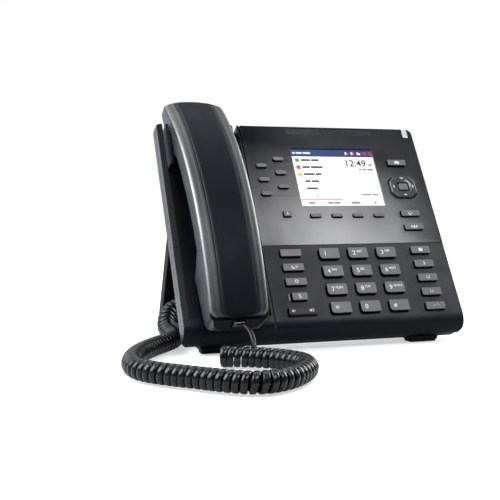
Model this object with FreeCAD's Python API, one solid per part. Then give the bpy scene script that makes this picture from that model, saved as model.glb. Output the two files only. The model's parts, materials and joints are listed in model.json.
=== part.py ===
import FreeCAD, Part
import math
import os
from FreeCAD import Placement, Rotation, Vector

# Desk telephone, millimetres. +Z up, origin on the desk, midway between the housing's side walls and
# straight below the display's centre. The face leans back over the desk, so nearly every piece is drawn
# in the face frame and then placed: u runs across the face to the right, v up its slope, and n out of it,
# with the origin at the display's centre on the face plane.

# ---- driving dimensions ----
FACE_TILT = 58.5                 # slope of the face above the desk, degrees
SCREEN_X = 35.0                  # display centre in the desk frame
SCREEN_Z = 124.5

# housing, in the face frame
LEFT = -142.4
RIGHT = 76.4
TOP = 47.4
CREASE = -60.2                   # the keypad plane starts here, one small step lower
CREASE_STEP = 0.3
FLAT_END = -120.3                # the face rolls over towards the desk from here
FRONT_ROLL = 11.7                # radius of that roll
FRONT = FLAT_END - FRONT_ROLL
SHELL_DEPTH = 12.0               # upper shell, from the face to the seam
WALL = 2.0
CORNER = 5.0                     # upper corners of the housing
LOW_CORNER = 2.6
REAR_DEPTH = 30.0                # rear shell's flat back

# handset cradle
FIN_INNER = -136.2               # inner side of the rim left of the handset
TROUGH_RIGHT = -76.4
TROUGH_FRONT = -116.0
TROUGH_FRONT_N = -3.0
TROUGH_TOP_N = -10.0
GROOVE_U = -74.4                 # groove between the cradle and the key panel
POCKET_HALF = 24.1               # ear pocket
POCKET_FRONT = 24.5
NOTCH_FRONT = 11.0               # open notch between the rim and the ear pocket
CHEEK = (24.2, 27.0)             # the ear pocket's side walls, out from the handset's centre line

# handset
HS_U = -107.0
HS_TOP = 77.0
HS_END = -129.0
HS_END_LEAN = 3.0                # the mouth end's face leans back by this much at its top edge
HS_PEAK_V = -62.0                # highest point of the back's long arc
HS_PEAK_N = 33.5
HS_ARC = 250.0
HS_GRIP = 17.0                   # thickness of the grip
HS_ROUND = 3.2                   # rounding where the back meets the sides
HS_SPLIT = 4.6                   # depth of the parting line below the back
HS_TOP_HALF = 23.6
HS_END_HALF = 20.6
HS_TOP_BOW = 5.5
HS_TOP_CORNER = 4.2
HS_END_CORNER = 6.0
HS_PITCH = 0.125                 # slope of the plane that touches both cups
HS_CUP_V = 26.0                  # lower wall of the ear cup
HS_MOUTH_V = -82.0               # upper wall of the mouth cup
HS_CUP_WALL = 5.0                # height of each cup's upright inner wall
HS_CUP_RAMP = 11.0               # length of the slope from a cup up to the grip
RECEIVER_V = 47.0
SOUND_HOLES = (1.1, 5.0)         # radius of the ear cup's holes, and of the ring they lie on
MICROPHONE = (-104.0, 4.9, 5.6, 10.6)
JACK_N = 15.4                    # centre of the cord jack in the mouth end

# keys: the shared section through a key, and the key panel's rows and columns
KEY_GAP = 0.25
KEY_FLANGE = 0.9
FLANGE_TOP = -2.2
FLANGE_BOTTOM = -4.0
KEY_EDGE = 0.45                  # rounding of a key's top edge
DIGIT_FIRST = (-23.0, -69.0)     # centre of the digit 1
DIGIT_PITCH = (23.43, 14.74)
DIGIT_LOW_LEFT = 2.4             # rounder lower left corner of the digit keys
LEFT_PITCH = 11.8
RIGHT_FIRST = (53.8, -67.4)
RIGHT_PITCH = 11.83
FEATURE_PITCH = 12.65
SOFT_PITCH = 17.72

# display
SCREEN_W = 70.8
SCREEN_H = 53.2

# sheets inside the housing, as (lower, upper) levels below the face
MAT = (-7.4, -6.4)               # keypad mat
DOME_TOP = -5.35
BOARD = (-9.4, -7.8)             # main board
CHIP_BOTTOM = -10.6

ABOVE = 1.0                      # cutters reach this far above the face
BELOW = -20.0                    # and this far below the shell

TINY = 1e-3

FACE = Placement(Vector(SCREEN_X, 0, SCREEN_Z), Rotation(Vector(1, 0, 0), FACE_TILT))
OUT = Vector(0, 0, 1)


# ---- helpers ----
def block(u0, u1, v0, v1, n0, n1):
    return Part.makeBox(u1 - u0, v1 - v0, n1 - n0, Vector(u0, v0, n0))


def drum(u, v, radius, n0, n1):
    return Part.makeCylinder(radius, n1 - n0, Vector(u, v, n0), OUT)


def rounded_wire(u0, u1, v0, v1, n, radius, low_left=None):
    """A rounded rectangle at height n; low_left is the lower left corner's own radius."""
    radii = [low_left or radius, radius, radius, radius]
    corners = [(u0, v0, 1, 1), (u1, v0, -1, 1), (u1, v1, -1, -1), (u0, v1, 1, -1)]
    starts = []
    edges = []
    for index, (u, v, su, sv) in enumerate(corners):
        r = radii[index]
        centre = Vector(u + su * r, v + sv * r, n)
        on_v = Vector(u, v + sv * r, n)
        on_u = Vector(u + su * r, v, n)
        first, last = (on_v, on_u) if index % 2 == 0 else (on_u, on_v)
        middle = centre + Vector(-su * r, -sv * r, 0) * math.sqrt(0.5)
        starts.append((first, last))
        edges.append(Part.Arc(first, middle, last).toShape())
    for index in range(4):
        edges.append(Part.makeLine(starts[index][1], starts[(index + 1) % 4][0]))
    return Part.Wire(Part.__sortEdges__(edges))


def slab(u0, u1, v0, v1, n0, n1, radius, low_left=None):
    return Part.Face(rounded_wire(u0, u1, v0, v1, n0, radius, low_left)).extrude(OUT * (n1 - n0))


def side_prism(points, u0, u1):
    """A (v, n) outline carried across from u0 to u1."""
    corners = [Vector(u0, v, n) for v, n in points]
    face = Part.Face(Part.makePolygon(corners + corners[:1]))
    return face.extrude(Vector(u1 - u0, 0, 0))


def end_prism(points, v0, v1):
    """A (u, n) outline carried up the slope from v0 to v1."""
    corners = [Vector(u, v0, n) for u, n in points]
    face = Part.Face(Part.makePolygon(corners + corners[:1]))
    return face.extrude(Vector(0, v1 - v0, 0))


def fuse(shapes):
    return shapes[0].fuse(shapes[1:]).removeSplitter()


def softened(solid, radius, test):
    """Round the edges whose centre passes the test."""
    edges = [edge for edge in solid.Edges if test(edge.CenterOfMass, edge)]
    return solid.makeFillet(radius, edges)


def export(name, shape, in_face=True):
    placed = shape.copy()
    if in_face:
        placed.Placement = FACE.multiply(placed.Placement)
    placed.exportStep(f"parts/{name}.step")


# ---- keys ----
def key_list():
    """Every plain key as (name, u, v, width, height, corner, height above the face)."""
    keys = []
    digits = ["1", "2", "3", "4", "5", "6", "7", "8", "9", "star", "0", "hash"]
    for index, digit in enumerate(digits):
        u = DIGIT_FIRST[0] + DIGIT_PITCH[0] * (index % 3)
        v = DIGIT_FIRST[1] - DIGIT_PITCH[1] * (index // 3)
        keys.append((f"key_{digit}", u, v, 15.8, 8.8, 1.1, 2.7))
    for name, row in (("end_call", 0), ("redial", 1), ("options", 2)):
        keys.append((f"key_{name}", -53.4, -67.6 - LEFT_PITCH * row, 16.4, 5.9, 0.9, 2.2))
    keys.append(("key_mute", -53.05, -103.0, 11.9, 6.0, 0.9, 2.2))
    for row, name in enumerate(("callers", "hold", "line_2", "line_1", "speaker")):
        keys.append((f"key_{name}", RIGHT_FIRST[0], RIGHT_FIRST[1] - RIGHT_PITCH * row, 16.0, 6.1, 0.9, 2.2))
    for name, v in (("directory", 12.9), ("transfer", -34.6), ("conference", -46.8)):
        keys.append((f"key_{name}", 54.0, v, 15.9, 5.4, 0.9, 2.2))
    for row in range(3):
        keys.append((f"key_feature_{row + 1}", -47.9, 15.5 - FEATURE_PITCH * row, 8.6, 3.4, 1.6, 2.0))
        keys.append((f"key_feature_{row + 4}", -62.6, 9.2 - FEATURE_PITCH * row, 8.6, 3.4, 1.6, 2.0))
    keys.append(("key_presence", -49.3, -34.0, 6.4, 4.8, 0.9, 2.0))
    for column in range(4):
        keys.append((f"key_soft_{column + 1}", -26.3 + SOFT_PITCH * column, -35.6, 8.8, 3.2, 0.9, 1.8))
    return keys


def is_digit(name):
    return name[4:] in ("star", "hash") or name[4:].isdigit()


def key_cap(name, u, v, width, height, corner, proud):
    low_left = DIGIT_LOW_LEFT if is_digit(name) else None
    outline = (u - width / 2, u + width / 2, v - height / 2, v + height / 2)
    cap = slab(*outline, FLANGE_BOTTOM, proud, corner, low_left)
    cap = softened(cap, KEY_EDGE, lambda centre, edge: abs(centre.z - proud) < TINY)
    half_w = width / 2 + KEY_FLANGE
    half_h = height / 2 + KEY_FLANGE
    outline = (u - half_w, u + half_w, v - half_h, v + half_h)
    flange = slab(*outline, FLANGE_BOTTOM, FLANGE_TOP, corner + KEY_FLANGE)
    key = fuse([cap, flange])
    if name == "key_5":
        key = fuse([key, block(u - 1.6, u + 1.6, v - 2.9, v - 2.3, proud - 0.3, proud + 0.35)])
    return key


def key_opening(name, u, v, width, height, corner, proud):
    low_left = DIGIT_LOW_LEFT + KEY_GAP if is_digit(name) else None
    half_w = width / 2 + KEY_GAP
    half_h = height / 2 + KEY_GAP
    return slab(u - half_w, u + half_w, v - half_h, v + half_h, -3, ABOVE, corner + KEY_GAP, low_left)


# ---- volume rocker and navigation cluster ----
ROCKER = (-52.7, -114.4, 22.0, 6.2)
NAV = (54.0, -10.2, 22.0, 18.8)
NAV_PLAY = 0.7
NAV_CUT = 4.2                    # size of the ring's cut corners
NAV_DISH = 40.0                  # radius of its dished top
SELECT = (8.2, 6.0)


def volume_rocker():
    """One long bar on a pivot rib, tipping about the v axis."""
    u, v, width, height = ROCKER
    bar = slab(u - width / 2, u + width / 2, v - height / 2, v + height / 2, -3.4, 2.3, 1.2)
    bar = softened(bar, 0.6, lambda centre, edge: centre.z > 2.2)
    pivot = Part.makeCylinder(1.0, height + 3.0, Vector(u, v - height / 2 - 1.5, -3.4), Vector(0, 1, 0))
    return fuse([bar, pivot])


def octagon(u, v, width, height, cut, n0, n1):
    half_w = width / 2
    half_h = height / 2
    outline = []
    for su, sv in ((1, -1), (1, 1), (-1, 1), (-1, -1)):
        corner = [Vector(u + su * half_w, v + sv * (half_h - cut), n0)]
        corner.append(Vector(u + su * (half_w - cut), v + sv * half_h, n0))
        outline += corner if su * sv > 0 else corner[::-1]
    return Part.Face(Part.makePolygon(outline + outline[:1])).extrude(OUT * (n1 - n0))


def nav_ring():
    """Four-way ring with a dished top around the select key."""
    u, v, width, height = NAV
    ring = octagon(u, v, width, height, NAV_CUT, -3.4, 2.6)
    ring = softened(ring, 1.6, lambda centre, edge: abs(edge.tangentAt(edge.FirstParameter).z) > 0.99)
    ring = softened(ring, 0.9, lambda centre, edge: centre.z > 2.5)
    hole = slab(u - 5.2, u + 5.2, v - 4.1, v + 4.1, -4, 3, 1.6)
    dish = Part.makeSphere(NAV_DISH, Vector(u, v, NAV_DISH + 1.9))
    pads = [block(u + side * 8.6 - 1, u + side * 8.6 + 1, v - 1, v + 1, -3.9, -3.3) for side in (-1, 1)]
    return fuse([ring.cut([hole, dish])] + pads)


def nav_gimbal():
    """Frame under the ring: the ring rocks on its side pads, the frame rocks on its end pads."""
    u, v = NAV[:2]
    frame = slab(u - 10, u + 10, v - 7.2, v + 7.2, -4.9, -3.95, 1.5)
    frame = frame.cut(slab(u - 6.6, u + 6.6, v - 5.0, v + 5.0, -6, -3, 1.2))
    pads = [block(u - 1, u + 1, v + side * 6.1 - 1, v + side * 6.1 + 1, -5.4, -4.85) for side in (-1, 1)]
    return fuse([frame] + pads)


def select_key():
    u, v = NAV[:2]
    half_w, half_h = SELECT[0] / 2, SELECT[1] / 2
    cap = slab(u - half_w, u + half_w, v - half_h, v + half_h, -5.0, 2.3, 1.3)
    return softened(cap, 0.5, lambda centre, edge: centre.z > 2.2)


# ---- housing ----
SCREWS = [(-66.5, 30.0), (55.5, 27.0), (-38.0, -91.0), (38.0, -99.0), (-118.0, -101.0)]
SPEAKER = (-107.0, -45.0, 20.0)
LAMP = (67.6, 72.3, 38.8)
PLATE = (-36.4, 37.4, 40.2, 46.2)
LEVER = (-107.0, 33.0, 7.0, 5.0)
LEVER_STOP = -20.5               # top of the lever's flange when the handset holds it down
LAMP_SLITS = [(44.1, RIGHT_FIRST[1] - RIGHT_PITCH * row) for row in range(5)] + [(-60.7, -103.0)]
SLIT = (1.3, 5.5)                # width and height of a lamp slit
RIM_LEAN = 1.5                   # the left rim's outer wall leans in by this much at the face
BOSS = 3.2                       # radius of the screw bosses
PILOT = 1.25                     # radius of the hole in a boss
FAR = 60.0                       # beyond the top edge


def handset_rest_n(v):
    """Plane that touches both cups of the handset when it lies in the cradle."""
    return -12.0 + (16.0 - v) * HS_PITCH


def roll_profile(inset, bottom):
    """Side outline of the upper shell: flat face, small step, then the roll at the front."""
    top = TOP - inset
    radius = FRONT_ROLL - inset
    flat = -inset if inset else -CREASE_STEP
    middle = Vector(0, FLAT_END - radius * math.sqrt(0.5), flat - radius * (1 - math.sqrt(0.5)))
    start = Vector(0, FLAT_END, flat)
    end = Vector(0, FLAT_END - radius, flat - radius)
    corners = [end, Vector(0, FLAT_END - radius, bottom), Vector(0, top, bottom), Vector(0, top, -inset)]
    if not inset:
        corners += [Vector(0, CREASE, 0), Vector(0, CREASE, flat)]
    corners.append(start)
    if abs(end.z - bottom) < TINY:
        corners = corners[1:]
    edges = [Part.makeLine(a, b) for a, b in zip(corners, corners[1:])]
    edges.append(Part.Arc(start, middle, end).toShape())
    return Part.Face(Part.Wire(edges))


def outer_block():
    profile = roll_profile(0.0, -SHELL_DEPTH)
    profile.translate(Vector(LEFT, 0, 0))
    solid = profile.extrude(Vector(RIGHT - LEFT, 0, 0))
    spare = 20.0
    solid = solid.common(slab(LEFT, RIGHT, FRONT - spare, TOP, BELOW, 5, CORNER))
    solid = solid.common(slab(LEFT, RIGHT, FRONT - 0.01, TOP + spare, BELOW, 5, LOW_CORNER))
    rim = [(LEFT - 1, 0.1), (LEFT + RIM_LEAN, 0.1), (LEFT, -7.5), (LEFT + 3.4, -12.1), (LEFT - 1, -12.1)]
    bevel = [(RIGHT + 1, -6.0), (RIGHT, -6.0), (RIGHT - 2.2, -12.1), (RIGHT + 1, -12.1)]
    parting = block(LEFT - 1, LEFT + 1.2, FRONT, TOP + 1, -4.2, -3.8)
    return solid.cut([end_prism(rim, FRONT - 1, TOP + 1), end_prism(bevel, FRONT - 1, TOP + 1), parting])


def cradle_cuts():
    """Everything taken out of the left part of the shell, from above and from below."""
    slope = (TROUGH_TOP_N - TROUGH_FRONT_N) / (TOP - TROUGH_FRONT)
    far_n = TROUGH_FRONT_N + slope * (FAR - TROUGH_FRONT)
    trough = side_prism([(TROUGH_FRONT, ABOVE), (TROUGH_FRONT, TROUGH_FRONT_N), (FAR, far_n), (FAR, ABOVE)],
                        FIN_INNER, TROUGH_RIGHT)
    back = TOP - WALL
    back_n = TROUGH_FRONT_N + slope * (back - TROUGH_FRONT) - WALL
    front = TROUGH_FRONT + WALL
    below = side_prism([(front, -12.1), (front, TROUGH_FRONT_N - WALL), (back, back_n), (back, -12.1)],
                       -129.5, GROOVE_U + 1.2)
    groove = block(GROOVE_U - 0.5, GROOVE_U + 0.5, FRONT + 3, TOP + 1, -1.5, ABOVE)
    return [trough, below, groove, notch()]


def notch():
    """The slot between the left rim and the ear pocket, with its pointed lower end."""
    wall = HS_U - CHEEK[1]
    points = [(FIN_INNER, TOP + 1), (FIN_INNER, NOTCH_FRONT + 7), ((FIN_INNER + wall) / 2, NOTCH_FRONT),
              (wall, NOTCH_FRONT + 3), (wall, TOP + 1)]
    corners = [Vector(u, v, -13) for u, v in points]
    return Part.Face(Part.makePolygon(corners + corners[:1])).extrude(OUT * 14)


def pocket_prism(front, drop, half, far):
    low = [(front, handset_rest_n(front) - drop), (far, handset_rest_n(far) - drop)]
    return side_prism([(front, ABOVE)] + low + [(far, ABOVE)], HS_U - half, HS_U + half)


def cradle_adds():
    """The ear pocket's tub, its two cheeks and the pad under the mouth end."""
    tub = pocket_prism(POCKET_FRONT - 1.5, 1.95, POCKET_HALF + 1.5, TOP)
    tub = tub.common(block(-140, -70, 0, TOP, -30, -9.3))
    inner, outer = CHEEK
    cheeks = [block(HS_U + u, HS_U + u + outer - inner, NOTCH_FRONT, TOP, -11, 0) for u in (-outer, inner)]
    pad_top = [(v, handset_rest_n(v) - 0.4) for v in (-112.0, -90.0)]
    pad = side_prism([(-112.0, -4.0)] + pad_top + [(-90.0, -5.0)], HS_U - 14, HS_U + 14)
    return [tub, pad] + cheeks


def speaker_slots():
    """Grille over the loudspeaker: slots clipped to a circle."""
    u, v, radius = SPEAKER
    slots = []
    pitch = 3.4
    for row in range(-4, 5):
        reach = math.sqrt((radius - 3) ** 2 - (row * pitch) ** 2)
        middle = v + row * pitch
        slots.append(block(u - reach, u + reach, middle - 0.7, middle + 0.7, -13, ABOVE))
    return slots


def upper_housing():
    panel = roll_profile(WALL, -SHELL_DEPTH - 0.1)
    panel.translate(Vector(GROOVE_U + 1.2, 0, 0))
    cavity = panel.extrude(Vector(RIGHT - WALL - GROOVE_U - 1.2, 0, 0))
    cavity = cavity.common(block(-200, RIGHT - WALL, FRONT, TOP - WALL, -20, 0))
    shell = outer_block().cut([cavity] + cradle_cuts())
    bosses = [drum(u, v, BOSS, -SHELL_DEPTH, -1.0 if u > HS_U else -4.0) for u, v in SCREWS]
    shell = fuse([shell] + cradle_adds() + bosses)
    cuts = [key_opening(*key) for key in key_list()]
    u, v, width, height = ROCKER
    cuts.append(slab(u - width / 2 - 0.4, u + width / 2 + 0.4, v - height / 2 - 0.3, v + height / 2 + 0.3,
                     -3, ABOVE, 1.5))
    u, v, width, height = NAV
    cuts.append(octagon(u, v, width + 2 * NAV_PLAY, height + 2 * NAV_PLAY, NAV_CUT, -3, ABOVE))
    cuts.append(block(-SCREEN_W / 2, SCREEN_W / 2, -SCREEN_H / 2, SCREEN_H / 2, -3, ABOVE))
    cuts.append(block(PLATE[0], PLATE[1], PLATE[2], PLATE[3], -0.9, ABOVE))
    cuts.append(block(LAMP[0], LAMP[1], LAMP[2], TOP + 1, -6.1, ABOVE))
    across, up = SLIT[0] / 2, SLIT[1] / 2
    cuts += [block(u - across, u + across, v - up, v + up, -3, ABOVE) for u, v in LAMP_SLITS]
    cuts.append(pocket_prism(POCKET_FRONT, 0.45, POCKET_HALF, FAR))
    u, v, width, height = LEVER
    half_w, half_h = width / 2 + 0.2, height / 2 + 0.2
    cuts.append(block(u - half_w, u + half_w, v - half_h, v + half_h, BELOW, ABOVE))
    cuts += speaker_slots()
    cuts += [drum(u, v, PILOT, -12.1, -5.5) for u, v in SCREWS]
    return shell.cut(cuts)


# ---- rear shell ----
REAR_RINGS = [(-131.5, 75.2, -131.9, 46.3, -12.1), (-130.8, 73.6, -131.7, 44.5, -17.0),
              (-126.8, 62.0, -112.0, 36.0, -REAR_DEPTH)]
REAR_CORNER = 3.6
RECESS = (70.9, -14.6, 1.3)      # small round recess in the front of the rear shell
JACKS = [("handset", -75.0, 9.0, 8.4), ("headset", -58.0, 9.0, 8.4), ("network", -23.5, 14.0, 12.5),
         ("computer", -2.5, 14.0, 12.5), ("power", 18.0, 9.0, 9.0)]
JACK_V = -80.0
LEG_U = [-115.5, 46.0]
LEG_WIDTH = 26.0
TAB_V = [-60.0, -20.0]
PAD = 1.5                        # thickness of the rubber feet


def ring_loft(inset, top):
    wires = []
    for left, right, front, back, n in REAR_RINGS:
        depth = n + inset if n < -25 else n
        depth = depth + top if n > -13 else depth
        corner = REAR_CORNER - inset / 2
        wires.append(rounded_wire(left + inset, right - inset, front + inset, back - inset, depth, corner))
    return Part.makeLoft(wires, True, True)


def rear_housing():
    shell = ring_loft(0.0, 0.0).cut(ring_loft(WALL, 0.5))
    seats = []
    cuts = [pocket_prism(POCKET_FRONT - 1.7, 2.15, POCKET_HALF + 1.7, FAR)]
    for u, v in SCREWS:
        seats.append(drum(u, v, 4.6, -REAR_DEPTH + 1, -12.2))
        cuts.append(drum(u, v, 3.1, -REAR_DEPTH - 1, -15.0))
        cuts.append(drum(u, v, 1.6, -16, -12))
    u, v, radius = SPEAKER
    seats.append(drum(u, v, radius + 1.8, -REAR_DEPTH + 1, -18.0))
    cuts.append(drum(u, v, radius + 0.3, -REAR_DEPTH + WALL, -17.0))
    shell = fuse([shell, *[seat.common(ring_loft(0.2, 0.0)) for seat in seats]])
    for name, u, width, height in JACKS:
        cuts.append(block(u - width / 2, u + width / 2, JACK_V - height / 2, JACK_V + height / 2,
                          -REAR_DEPTH - 1, -REAR_DEPTH + WALL + 0.1))
    for leg in LEG_U:
        cuts += [block(leg - 6, leg + 6, v - 1.6, v + 1.6, -REAR_DEPTH - 1, -REAR_DEPTH + 3) for v in TAB_V]
    u, n, radius = RECESS
    cuts.append(Part.makeCylinder(radius, 1.6, Vector(u, -132.0, n), Vector(0, 1, 0)))
    return shell.cut(cuts)


def jack_body(name, u, width, height):
    """A socket block behind its opening, with the mouth cut into it."""
    half_w, half_h = width / 2, height / 2
    body = block(u - half_w - 1.5, u + half_w + 1.5, JACK_V - half_h - 1.5, JACK_V + half_h + 1.5,
                 -REAR_DEPTH + WALL + 0.1, -REAR_DEPTH + 15)
    if name == "power":
        mouth = drum(u, JACK_V, 3.4, -REAR_DEPTH, -REAR_DEPTH + 13)
        return body.cut(mouth.cut(drum(u, JACK_V, 1.0, -REAR_DEPTH, -REAR_DEPTH + 13)))
    mouth = block(u - half_w + 0.7, u + half_w - 0.7, JACK_V - half_h + 0.9, JACK_V + half_h - 0.9,
                  -REAR_DEPTH, -REAR_DEPTH + 13)
    return body.cut(mouth)


def rear_jacks():
    return Part.makeCompound([jack_body(*jack) for jack in JACKS])


def screw(u, v):
    head = drum(u, v, 2.6, -17.3, -15.1)
    shank = drum(u, v, 1.2, -15.2, -6.0)
    slot = block(u - 0.4, u + 0.4, v - 1.7, v + 1.7, -18, -16.4)
    cross = block(u - 1.7, u + 1.7, v - 0.4, v + 0.4, -18, -16.4)
    return fuse([head, shank]).cut([slot, cross])


# ---- stand ----
def to_desk(v, n):
    """(Y, Z) in the desk frame of a point on the slope."""
    tilt = math.radians(FACE_TILT)
    return v * math.cos(tilt) - n * math.sin(tilt), SCREEN_Z + v * math.sin(tilt) + n * math.cos(tilt)


def leg_outline():
    """Side outline of a leg: front toe, arched underside, rear foot, strut, and along the shell's back."""
    back = -REAR_DEPTH - 0.1
    under_lip = to_desk(-131.8, -17.0)
    heel = to_desk(-112.0, back)
    crown = to_desk(-6.0, back)
    toe = [(-57.8, PAD), (-57.8, 4.4), (under_lip[0], under_lip[1] - 0.6)]
    strut = [(crown[0] + 9.0, crown[1] + 1.0), (80.0, 7.0), (80.0, PAD)]
    arch = [(62.0, PAD), (58.0, 6.5), (-30.0, 6.5), (-41.0, 5.0), (-46.0, PAD)]
    return toe + [heel, crown] + strut + arch


def leg_window():
    """The opening inside the triangle of a leg."""
    crown_y, crown_z = to_desk(-6.0, -REAR_DEPTH)
    peak = [(crown_y + 1.5, crown_z - 19.0), (crown_y + 6.5, crown_z - 19.0)]
    return [(-14.0, 12.5), (-12.0, 16.0)] + peak + [(63.0, 16.0), (61.0, 12.5)]


def desk_prism(points, x0, x1):
    corners = [Vector(x0, y, z) for y, z in points]
    face = Part.Face(Part.makePolygon(corners + corners[:1]))
    return face.extrude(Vector(x1 - x0, 0, 0))


def stand_leg(u):
    x0 = u + SCREEN_X - LEG_WIDTH / 2
    x1 = x0 + LEG_WIDTH
    brace = desk_prism(leg_outline(), x0, x1).cut(desk_prism(leg_window(), x0 - 1, x1 + 1))
    taper = []
    for side, x in ((1, x0), (-1, x1)):
        wedge = [Vector(x, -60, 0), Vector(x + side * 2.5, -60, 0), Vector(x, -60, 7)]
        taper.append(Part.Face(Part.makePolygon(wedge + wedge[:1])).extrude(Vector(0, 150, 0)))
    tabs = []
    for v in TAB_V:
        tab = block(u - 5.7, u + 5.7, v - 1.3, v + 1.3, -REAR_DEPTH - 1, -REAR_DEPTH + 2.4)
        tab.Placement = FACE
        tabs.append(tab)
    return fuse([brace.cut(taper)] + tabs)


def rubber_feet():
    feet = []
    for u in LEG_U:
        x = u + SCREEN_X
        for y0, y1, half in ((-57.6, -46.4, 11.0), (63.0, 79.0, 10.0)):
            feet.append(Part.Face(rounded_wire(x - half, x + half, y0, y1, 0, 2.0)).extrude(OUT * PAD))
    return Part.makeCompound(feet)


# ---- display, lamps, boards ----
def display_window():
    plate = block(-38, 38, -29, 29, -3.0, -2.05)
    pane = block(-SCREEN_W / 2 + 0.1, SCREEN_W / 2 - 0.1, -SCREEN_H / 2 + 0.1, SCREEN_H / 2 - 0.1, -2.1, -1.0)
    return fuse([plate, pane])


def display_module():
    return fuse([block(-38.5, 38.5, -30, 30, -5.6, -3.1), block(-36, 36, -28, 28, -7.2, -5.5)])


def name_plate():
    plate = block(PLATE[0] + 0.15, PLATE[1] - 0.15, PLATE[2] + 0.15, PLATE[3] - 0.15, -0.88, -0.2)
    return softened(plate, 0.2, lambda centre, edge: centre.z > -0.3)


def lamp_lenses():
    message = block(LAMP[0] + 0.1, LAMP[1] - 0.1, LAMP[2] + 0.1, TOP - 0.02, -6.0, 0.1)
    message = softened(message, 0.6, lambda centre, edge: centre.z > 0 and centre.y > TOP - 1)
    across, up = SLIT[0] / 2 - 0.05, SLIT[1] / 2 - 0.05
    slits = [block(u - across, u + across, v - up, v + up, -3.0, 0.25) for u, v in LAMP_SLITS]
    return Part.makeCompound([message] + slits)


def keypad_mat():
    """Silicone sheet with one dome under every key."""
    sheet = [block(-65, 64, -119.8, -31.5, *MAT), block(-68, -42, -31.5, 19, *MAT)]
    sheet.append(block(42.5, 65, -31.5, 18, *MAT))
    domes = [drum(key[1], key[2], 1.6, MAT[1] - 0.1, DOME_TOP) for key in key_list()]
    mat = fuse(sheet + domes)
    return mat.cut([drum(u, v, BOSS + 0.4, -9, -5) for u, v in SCREWS])


def main_board():
    board = slab(-71, 72, -121, 43, *BOARD, 2.0)
    levels = (CHIP_BOTTOM, BOARD[0] + 0.1)
    chips = [block(-20, 4, -12, 12, *levels), block(14, 30, -6, 8, *levels)]
    chips += [block(-60, -50, -40, -24, *levels), block(40, 50, -70, -58, *levels)]
    board = fuse([board] + chips)
    return board.cut([drum(u, v, BOSS + 0.4, -12, -5) for u, v in SCREWS])


def loudspeaker():
    u, v, radius = SPEAKER
    frame = drum(u, v, radius, -15.5, -13.2)
    cone = Part.makeCone(radius - 7, radius - 1, 6, Vector(u, v, -21.5), OUT)
    magnet = drum(u, v, 11, -27.5, -21.4)
    dish = Part.makeCone(6, radius - 3, 5, Vector(u, v, -18.1), OUT)
    return fuse([frame, cone, magnet]).cut(dish)


def hook_lever():
    u, v, width, height = LEVER
    top = handset_rest_n(v - height / 2) - 0.7
    tongue = block(u - width / 2, u + width / 2, v - height / 2, v + height / 2, LEVER_STOP - 0.1, top)
    flange = block(u - 6, u + 6, v - 4.5, v + 4.5, LEVER_STOP - 1.6, LEVER_STOP)
    return fuse([tongue, flange])


# ---- handset ----
def arc_n(v, radius):
    return HS_PEAK_N - HS_ARC + math.sqrt(radius ** 2 - (v - HS_PEAK_V) ** 2)


def long_arc(v0, v1, radius):
    points = [Vector(0, v, arc_n(v, radius)) for v in (v0, (v0 + v1) / 2, v1)]
    return Part.Arc(*points).toShape()


def handset_side(inset):
    """Side outline: long arched back, an ear cup and a mouth cup, and the thinner grip between."""
    outer = HS_ARC - inset
    inner = HS_ARC - HS_GRIP + inset
    top = HS_TOP - inset
    end = HS_END + inset
    brow = end + HS_END_LEAN
    cup = HS_CUP_V + inset
    mouth = HS_MOUTH_V - inset
    ear_start = cup - HS_CUP_RAMP
    mouth_start = mouth + HS_CUP_RAMP - 1.0
    low = [(v, handset_rest_n(v) + inset) for v in (top, cup + 3.0)]
    low.append((cup, handset_rest_n(cup) + inset + HS_CUP_WALL))
    grip_start = (ear_start, arc_n(ear_start, inner))
    grip_end = (mouth_start, arc_n(mouth_start, inner))
    high = [(mouth, handset_rest_n(mouth) + inset + HS_CUP_WALL)]
    high += [(mouth - 3.0, handset_rest_n(mouth) + inset), (end, handset_rest_n(end) + inset)]
    first = [Vector(0, v, n) for v, n in [(top, arc_n(top, outer))] + low + [grip_start]]
    second = [Vector(0, v, n) for v, n in [grip_end] + high + [(brow, arc_n(brow, outer))]]
    edges = [Part.makeLine(a, b) for a, b in zip(first, first[1:])]
    edges.append(long_arc(ear_start, mouth_start, inner))
    edges += [Part.makeLine(a, b) for a, b in zip(second, second[1:])]
    edges.append(long_arc(brow, top, outer))
    return Part.Face(Part.Wire(Part.__sortEdges__(edges)))


def handset_plan(inset):
    """Top outline: wider at the ear end, both ends gently bowed."""
    wide = HS_TOP_HALF - inset
    narrow = HS_END_HALF - inset
    top = HS_TOP - inset
    end = HS_END + inset
    a, b = Vector(-narrow, end + 1.5, 0), Vector(narrow, end + 1.5, 0)
    c, d = Vector(wide, top - HS_TOP_BOW, 0), Vector(-wide, top - HS_TOP_BOW, 0)
    edges = [Part.Arc(a, Vector(0, end, 0), b).toShape(), Part.makeLine(b, c)]
    edges += [Part.Arc(c, Vector(0, top, 0), d).toShape(), Part.makeLine(d, a)]
    face = Part.Face(Part.Wire(edges))
    face.translate(Vector(HS_U, 0, -40))
    solid = face.extrude(OUT * 90)

    def upright(edge):
        return abs(edge.tangentAt(edge.FirstParameter).z) > 0.99

    solid = softened(solid, HS_END_CORNER - inset, lambda centre, edge: upright(edge) and centre.y < 0)
    return softened(solid, HS_TOP_CORNER - inset, lambda centre, edge: upright(edge) and centre.y > 0)


def handset_solid(inset):
    profile = handset_side(inset)
    profile.translate(Vector(HS_U - 30, 0, 0))
    solid = profile.extrude(Vector(60, 0, 0)).common(handset_plan(inset))
    return softened(solid, HS_ROUND - inset / 2, is_back_edge)


def split_cylinder(radius):
    centre = Vector(HS_U - 60, HS_PEAK_V, HS_PEAK_N - HS_ARC)
    return Part.makeCylinder(radius, 120, centre, Vector(1, 0, 0))


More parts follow.
